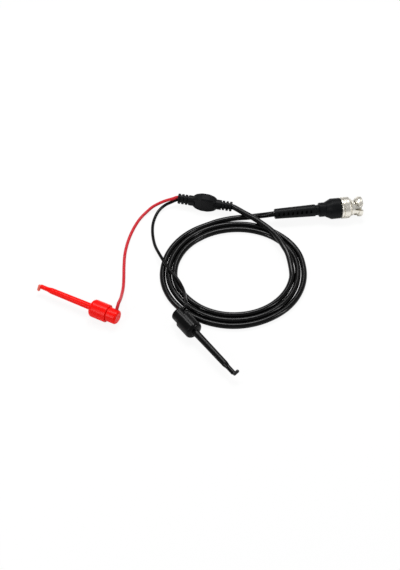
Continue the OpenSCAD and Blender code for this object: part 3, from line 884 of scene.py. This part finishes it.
@dataclass
class Plug:
    """The bayonet plug with its boot and strain relief.

    Attributes:
        boot_front: Place of the boot's front face.
        wave_start: Where the wave washer starts, from the boot's front face.
        wave_height: The wave washer's free height.
        wave_pressed: Its height when the nut is pulled fully forward. Not used.
        wave_play: Gap that it keeps in front and behind.
        waves: Number of its waves.
        wave_steps: Number of its cross-sections.
        sheet: Thickness of its sheet.
        inner_r: Its inner radius.
        outer_r: Its outer radius.
    """

    boot_front: Point = (98.05, 50.55, 7.5)
    wave_start: float = 2.5
    wave_height: float = 1.2
    wave_pressed: float = 0.4
    wave_play: float = 0.02
    waves: int = 3
    wave_steps: int = 72
    sheet: float = 0.3
    inner_r: float = 4.75
    outer_r: float = 5.45

    def dress(self) -> None:
        """Gives the plug's nodes their finishes."""
        dress_nodes(["plug_boot"], Slot.BOOT)
        dress_nodes(["plug_body", "coupling_nut", "outer_contact"], Slot.NICKEL)
        dress_nodes(["centre_pin"], Slot.GOLD)
        dress_nodes(["insulator"], Slot.INSULATOR)
        dress_nodes(["gasket"], Slot.SILICONE)
        dress_nodes(["thrust_washer", "retaining_ring"], Slot.SPRING)

    def wave_washer(self) -> bpy.types.Object:
        """Makes the wave washer unpressed; the real one flattens as the nut is pulled forward.

        Returns:
            The washer.
        """
        front = Vector(self.boot_front)
        middle = self.wave_start + self.wave_height / 2
        swing = (self.wave_height - self.sheet) / 2 - self.wave_play
        half = self.sheet / 2
        corners = (
            (self.inner_r, -half), (self.inner_r, half),
            (self.outer_r, half), (self.outer_r, -half),
        )
        sections = []
        for i in range(self.wave_steps):
            t = math.tau * i / self.wave_steps
            x = middle + swing * math.cos(self.waves * t)
            ray = Vector((0, math.cos(t), math.sin(t)))
            sections.append([front + ray * r + Vector((x + h, 0, 0)) for r, h in corners])
        piece = band_mesh("wave_washer_formed", sections, True)
        STORE.dress(piece, Slot.SPRING)
        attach(piece, LEAD_BODY)
        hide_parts("wave_washer")
        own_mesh(piece)
        log.info("made the wave washer")
        return piece

    def build(self) -> None:
        """Makes and dresses the plug."""
        self.dress()
        self.wave_washer()


@dataclass
class HookClip:
    """A hook clip: a cap on the lead, a hook, and a barrel that slides on the cap against a spring.

    Attributes:
        colour: The clip's colour name, as in its nodes' names.
        base: Centre of the barrel's rear face.
        turn: Direction of the clip on the table, in degrees.
        lead_tilt: Tilt of the lead's hole from upright, towards the clip's left, in degrees.
        shell: Finish of cap and barrel.
        wire: Finish of the hook.
        lead_hole_back: Distance of the lead's hole behind the barrel's rear face.
        lead_radii: Radii of the lead's last points, from outside the cap to its middle.
        spring_d: Outer diameter of the spring.
        spring_wire_d: Diameter of its wire.
        spring_turns: Number of its turns.
        spring_steps: Number of its cross-sections in a turn.
        spring_sides: Corners of each cross-section.
        spring_low: Where the spring starts, in the cap's pocket.
        spring_high: Where it ends, at the barrel's bore.
        stroke: How far the barrel slides. Not used.
    """

    colour: str
    base: Point
    turn: float
    lead_tilt: float
    shell: Slot
    wire: Slot
    lead_hole_back: float = 4.8
    lead_radii: tuple[float, ...] = (7.2, 5.0, 1.8)
    spring_d: float = 6.6
    spring_wire_d: float = 0.6
    spring_turns: int = 6
    spring_steps: int = 20
    spring_sides: int = 8
    spring_low: float = -0.5
    spring_high: float = 10.2
    stroke: float = 3.0

    @property
    def along(self) -> Vector:
        """Direction from the cap to the hook."""
        turn = math.radians(self.turn)
        return Vector((math.cos(turn), math.sin(turn), 0))

    @property
    def left(self) -> Vector:
        """Direction to the clip's left."""
        return Vector((0, 0, 1)).cross(self.along)

    def at(self, station: float) -> Vector:
        """Gives a point on the clip's axis."""
        return Vector(self.base) + self.along * station

    def lead_hole(self, radius: float) -> Vector:
        """Gives a point on the axis of the lead's hole.

        Args:
            radius: Its distance from the clip's axis.

        Returns:
            The point.
        """
        tilt = math.radians(self.lead_tilt)
        out = math.cos(tilt) * Vector((0, 0, 1)) + math.sin(tilt) * self.left
        return self.at(-self.lead_hole_back) + radius * out

    def dress(self) -> None:
        """Gives the clip's nodes their finishes."""
        dress_nodes([f"{self.colour}_clip_barrel", f"{self.colour}_clip_cap"], self.shell)
        dress_nodes([f"{self.colour}_clip_hook"], self.wire)
        dress_nodes([f"{self.colour}_clip_terminal"], Slot.GOLD)

    def spring(self) -> bpy.types.Object:
        """Makes the coil spring at rest; the real one shortens as the barrel is pulled back.

        Returns:
            The spring.
        """
        wire_r = self.spring_wire_d / 2
        r = (self.spring_d - self.spring_wire_d) / 2
        low, high = self.spring_low + wire_r, self.spring_high - wire_r
        steps = self.spring_turns * self.spring_steps
        route = []
        for i in range(steps + 1):
            t = math.tau * self.spring_turns * i / steps
            out = math.cos(t) * Vector((0, 0, -1)) + math.sin(t) * self.left
            route.append(self.at(low + (high - low) * i / steps) + r * out)
        sections = round_sections(route, wire_r, self.spring_sides)
        piece = band_mesh(f"{self.colour}_spring_wound", sections, False)
        STORE.dress(piece, Slot.SPRING)
        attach(piece, LEAD_BODY)
        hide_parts(f"{self.colour}_clip_spring")
        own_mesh(piece)
        log.info("made the %s clip's spring", self.colour)
        return piece

    def build(self) -> None:
        """Makes and dresses the clip."""
        self.dress()
        self.spring()


@dataclass
class Splitter:
    """The moulding where the cable splits into two leads.

    Attributes:
        left_end: Centre of its left end.
        turn: Direction of its axis, in degrees.
        length: Its length.
        lead_spread: Distance between the two leads' holes.
        hole_points: Depths of a cord's points in its hole, from outside to the bottom.
    """

    left_end: Point = (-12.8, 75.56, 5.95)
    turn: float = -19.4
    length: float = 38.5
    lead_spread: float = 2.6
    hole_points: tuple[float, ...] = (-0.5, 4.0, 8.5)

    def on_axis(self, along: float, up: float = 0.0) -> Vector:
        """Gives a point on the splitter's axis, or above or below it."""
        t = math.radians(self.turn)
        return Vector(self.left_end) + Vector((math.cos(t) * along, math.sin(t) * along, up))

    def cable_end(self) -> list[Vector]:
        """Gives the cable's points in its hole, from outside to the bottom."""
        return [self.on_axis(self.length - depth) for depth in self.hole_points]

    def lead_start(self, up: float) -> list[Vector]:
        """Gives a thin lead's points in its hole, from the bottom to outside."""
        return [self.on_axis(depth, up) for depth in reversed(self.hole_points)]

    def build(self) -> None:
        """Dresses the splitter."""
        dress_nodes(["splitter_body"], Slot.BOOT)


@dataclass
class CableSet:
    """The coaxial cable and the two thin leads.

    A point beside the coil is its distance out, bearing and height, as Coil.beside takes them.

    Attributes:
        splitter: The splitter that they meet in.
        red_clip: The red lead's clip.
        black_clip: The black lead's clip.
        boot_rear: Where the cable leaves the strain relief.
        in_boot: Places of the cable's first points, ahead of boot_rear.
        cable_d: Diameter of the coaxial cable.
        lead_d: Diameter of the thin leads.
        from_plug: Points beside the coil from plug to coil.
        to_splitter: Points beside the coil from coil to splitter.
        red_points: Points beside the coil of the red lead.
        black_points: Points beside the coil of the black lead.
    """

    splitter: Splitter
    red_clip: HookClip
    black_clip: HookClip
    boot_rear: Point = (51.65, 50.55, 7.5)
    in_boot: tuple[float, ...] = (28.5, 19, 9.5, -0.5)
    cable_d: float = 3.8
    lead_d: float = 2.1
    from_plug: tuple[Point, ...] = (
        (4.3, 56.9, 5.9), (3.3, 62.7, 3.8), (2, 69.4, 2.2), (0.4, 77.1, 1.9), (-1.2, 86.4, 1.9),
        (-2.45, 96.1, 1.9),
    )
    to_splitter: tuple[Point, ...] = (
        (-10.55, 11.9, 4.8), (-10.3, 21.8, 5.5), (-8.9, 33, 5.7), (-6.75, 43.9, 5.7),
        (-4.85, 54.3, 5.8), (-1.7, 65.4, 6), (1.8, 74.2, 5.9), (4.4, 78.7, 5.95),
    )
    red_points: tuple[Point, ...] = (
        (26.8, 116.4, 6.9), (29.6, 121, 5.4), (31.9, 126.4, 3.6), (32.5, 130.6, 2),
        (32.3, 135.3, 1.2), (31, 140.8, 1.1), (29.3, 147.3, 1.1), (27.8, 153.7, 1.1),
        (26.3, 161, 1.1), (24.9, 169, 1.1), (24.5, 177.2, 1.3), (25.5, -175.8, 2.6),
        (27.7, -169.9, 5.4), (29.9, -165.7, 8.6), (32.1, -162.7, 11.2), (33.4, -161.4, 12.1),
    )
    black_points: tuple[Point, ...] = (
        (26.9, 117.2, 4), (28, 121.1, 2.9), (27.5, 125.4, 1.8), (25, 130.1, 1.2),
        (21.4, 135.1, 1.1), (17, 140.3, 1.1), (12.6, 145.5, 1.5), (8, 151.5, 3), (2.2, 159.6, 4.8),
        (-3.9, 170.2, 5), (-7.6, 179.1, 5), (-10.2, -171.8, 5), (-10.7, -162, 5.1),
        (-9.1, -152.6, 6.1), (-5.5, -145.1, 8.8), (-3.2, -141, 10.7), (-1.3, -138.7, 11.2),
    )

    def cord(
        self,
        name: str,
        points: Sequence[Vector],
        diameter: float,
        leaves: Vector,
        slot: Slot,
        nodes: Sequence[str],
    ) -> bpy.types.Object:
        """Args:
            name: The piece's name.
            points: The points that it passes through.
            diameter: Its diameter.
            leaves: Where it leaves the object. Not used.
            slot: Its material slot.
            nodes: The CAD nodes that it stands for.

        Returns:
            The cord.
        """
        on_table = diameter / 2 * FLATS
        route = [Vector((p.x, p.y, max(p.z, on_table))) for p in smooth_route(points)]
        piece = cord_curve(name, route, diameter)
        STORE.dress(piece, slot)
        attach(piece, LEAD_BODY)
        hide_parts(*nodes)
        return piece

    def coaxial(self) -> bpy.types.Object:
        """Makes the coaxial cable, from the plug through the coil to the splitter.

        Returns:
            The cable.
        """
        leaves = Vector(self.boot_rear)
        points = [
            *(leaves + Vector((ahead, 0, 0)) for ahead in self.in_boot),
            *(COIL.beside(*p) for p in self.from_plug),
            *COIL.winding(),
            *(COIL.beside(*p) for p in self.to_splitter),
            *self.splitter.cable_end(),
        ]
        return self.cord(
            "coaxial_cable",
            points,
            self.cable_d,
            leaves,
            Slot.CABLE,
            ["plug_cable", "cable_coil", "splitter_cable"],
        )

    def lead(
        self, clip: HookClip, up: float, beside: Sequence[Point], slot: Slot
    ) -> bpy.types.Object:
        """Makes a thin lead, from the splitter to its clip.

        Args:
            clip: The clip at its end.
            up: Height of its hole in the splitter above the splitter's axis.
            beside: Its points beside the coil.
            slot: Its material slot.

        Returns:
            The lead.
        """
        points = [
            *self.splitter.lead_start(up),
            *(COIL.beside(*p) for p in beside),
            *(clip.lead_hole(r) for r in clip.lead_radii),
        ]
        return self.cord(
            f"{clip.colour}_lead_wire",
            points,
            self.lead_d,
            self.splitter.on_axis(0, up),
            slot,
            [f"{clip.colour}_lead"],
        )

    def build(self) -> None:
        """Makes all cords."""
        up = self.splitter.lead_spread / 2
        self.coaxial()
        self.lead(self.red_clip, up, self.red_points, Slot.RED_JACKET)
        self.lead(self.black_clip, -up, self.black_points, Slot.BLACK_JACKET)


# Stage


@dataclass
class Stage:
    """Camera, lamps, world and floor.

    Attributes:
        camera_at: The camera's place.
        aim: The point that it looks at.
        lens: Its focal length.
        sensor: The height of its sensor.
        lamps: For each lamp its name, place, size and power.
        world_strength: How strongly the world lights the object.
        floor_half: Half the floor's side.
        floor_grey: The floor's own colour, the same in red, green and blue.
        floor_white: Share of white where the camera sees the floor.
        gloss_white: Share of white where a reflection sees the floor or the world.
    """

    camera_at: Point = (-54.3, -377.5, 452.5)
    aim: Point = (-7.0, -0.8, 0.0)
    lens: float = 56.5
    sensor: float = 36.0
    lamps: tuple[tuple[str, Point, tuple[float, float], float], ...] = (
        ("SoftboxAbove", (65, 245, 570), (200, 140), 1.6),
        ("SoftboxBehind", (90, 355, 500), (160, 120), 0.6),
        ("SoftboxLeft", (-204, 238, 554), (160, 120), 0.9),
        ("StripLeft", (-480, -300, 330), (60, 380), 1.1),
        ("StripRight", (500, -260, 330), (60, 380), 1.0),
    )
    world_strength: float = 0.42
    floor_half: float = 3000.0
    floor_grey: float = 0.85
    floor_white: float = 0.9
    gloss_white: float = 0.1

    def camera(self) -> None:
        """Sets the camera at the photograph's place."""
        data = bpy.data.cameras.new("PhotoCamera")
        data.lens = self.lens
        data.sensor_fit = "VERTICAL"
        data.sensor_height = self.sensor
        data.clip_start = 0.01
        data.clip_end = 50.0
        camera = bpy.data.objects.new("PhotoCamera", data)
        bpy.context.scene.collection.objects.link(camera)
        place = Vector(self.camera_at) * MM
        camera.location = place
        camera.rotation_euler = (Vector(self.aim) * MM - place).to_track_quat("-Z", "Y").to_euler()
        bpy.context.scene.camera = camera

    def lights(self) -> None:
        """Sets the lamps, which all point at the object."""
        for name, at, size, power in self.lamps:
            data = bpy.data.lights.new(name, "AREA")
            data.shape = "RECTANGLE"
            data.size, data.size_y = size[0] * MM, size[1] * MM
            data.energy = power
            lamp = bpy.data.objects.new(name, data)
            bpy.context.scene.collection.objects.link(lamp)
            place = Vector(at) * MM
            lamp.location = place
            lamp.rotation_euler = (-place).to_track_quat("-Z", "Y").to_euler()

    def white_background(
        self,
        sheet: Sheet,
        plain: bpy.types.NodeSocket,
        white: bpy.types.NodeSocket,
        camera_share: float,
    ) -> bpy.types.NodeSocket:
        """Mixes a plain shader with white where the camera or a reflection looks at it.

        Args:
            sheet: The sheet to draw on.
            plain: The shader that takes part in lighting.
            white: The white shader.
            camera_share: Share of white in the camera's view.

        Returns:
            The mixed shader's socket.
        """
        path = sheet.add("ShaderNodeLightPath")
        seen = sheet.maths("MULTIPLY", path.outputs["Is Camera Ray"], camera_share)
        glossy, through = path.outputs["Is Glossy Ray"], path.outputs["Is Transmission Ray"]
        mirrored = sheet.maths("MAXIMUM", glossy, through)
        share = sheet.maths("MAXIMUM", seen, sheet.maths("MULTIPLY", mirrored, self.gloss_white))
        mix = sheet.add("ShaderNodeMixShader")
        sheet.join(share, mix.inputs["Fac"])
        sheet.join(plain, mix.inputs[1])
        sheet.join(white, mix.inputs[2])
        return mix.outputs[0]

    def world(self) -> None:
        """Sets a soft even world that the camera sees as white."""
        world = bpy.data.worlds.new("SoftWorld")
        world.use_nodes = True
        world.node_tree.nodes.clear()
        sheet = Sheet(world.node_tree)
        soft = sheet.add("ShaderNodeBackground")
        soft.inputs["Color"].default_value = WHITE
        soft.inputs["Strength"].default_value = self.world_strength
        white = sheet.add("ShaderNodeBackground")
        white.inputs["Color"].default_value = WHITE
        white.inputs["Strength"].default_value = 1.0
        output = sheet.add("ShaderNodeOutputWorld")
        mixed = self.white_background(sheet, soft.outputs[0], white.outputs[0], 1.0)
        sheet.join(mixed, output.inputs["Surface"])
        bpy.context.scene.world = world

    def floor(self) -> None:
        """Lays a plain pale floor under the lead."""
        h = self.floor_half
        mesh = bpy.data.meshes.new("Floor")
        corners = [(x * MM, y * MM, 0.0) for x, y in ((-h, -h), (h, -h), (h, h), (-h, h))]
        mesh.from_pydata(corners, [], [(0, 1, 2, 3)])
        floor = bpy.data.objects.new("Floor", mesh)
        bpy.context.scene.collection.objects.link(floor)
        material, sheet, shader = start_material("PaleFloor")
        shader.inputs["Base Color"].default_value = rgba((self.floor_grey,) * 3)
        shader.inputs["Roughness"].default_value = 0.9
        shader.inputs["Specular IOR Level"].default_value = 0.0
        white = sheet.add("ShaderNodeEmission")
        white.inputs["Color"].default_value = WHITE
        white.inputs["Strength"].default_value = 1.0
        output = next(n for n in material.node_tree.nodes if n.type == "OUTPUT_MATERIAL")
        plain = shader.outputs["BSDF"]
        mixed = self.white_background(sheet, plain, white.outputs[0], self.floor_white)
        sheet.join(mixed, output.inputs["Surface"])
        mesh.materials.append(material)

    def build(self) -> None:
        """Sets the whole stage."""
        self.camera()
        self.world()
        self.lights()
        self.floor()
        bpy.context.scene.view_settings.view_transform = "Standard"


def main() -> None:
    """Builds the stage and the test lead."""
    logging.basicConfig(level=logging.INFO, format="%(name)s: %(message)s")
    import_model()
    Stage().build()
    red = HookClip(
        colour="red",
        base=(-68.36, -22.14, 5.85),
        turn=146.3,
        lead_tilt=-38,
        shell=Slot.RED_NYLON,
        wire=Slot.RED_WIRE,
    )
    black = HookClip(
        colour="black",
        base=(-21.36, -32.8, 5.85),
        turn=-60.2,
        lead_tilt=45,
        shell=Slot.BLACK_NYLON,
        wire=Slot.BLACK_WIRE,
    )
    splitter = Splitter()
    CableSet(splitter, red, black).build()
    for part in (Plug(), splitter, red, black):
        part.build()


if __name__ == "__main__":
    main()
